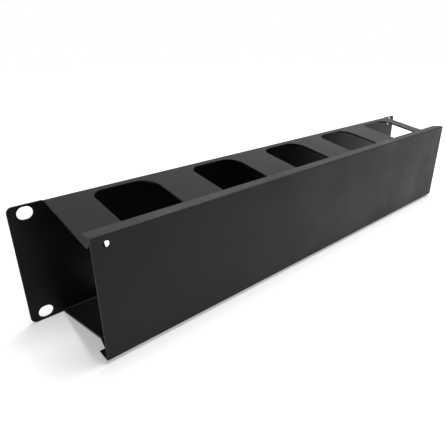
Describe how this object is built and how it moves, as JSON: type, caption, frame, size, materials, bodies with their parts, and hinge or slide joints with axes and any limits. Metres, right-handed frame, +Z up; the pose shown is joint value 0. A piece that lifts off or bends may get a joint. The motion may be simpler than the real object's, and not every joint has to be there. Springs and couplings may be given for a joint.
{
  "type": "horizontal cable manager",
  "caption": "Two-unit rack-mount cable duct: a folded steel channel with notched top and bottom flanges, slotted ears and a hooked-on front cover.",
  "frame": {"origin": "middle of the four rack slots, on the rear face of the ears that lies on the rack's rails", "axes": "+X along the length, +Y towards the back of the rack, +Z up; the cover faces -Y"},
  "size_m": [0.487, 0.0744, 0.0886],
  "materials": {
    "channel_coat": "black powder coat, fine texture, low satin sheen",
    "cover_coat": "black powder coat, fine texture, low satin sheen"
  },
  "bodies": {
    "channel": {"channel_body": "channel_coat"},
    "cover": {"front_cover": "cover_coat"}
  },
  "joints": [
    {"name": "cover_slide", "type": "slide", "parent": "channel", "child": "cover", "axis": [1, 0, 0], "range_m": [-0.45, 0.45]}
  ]
}
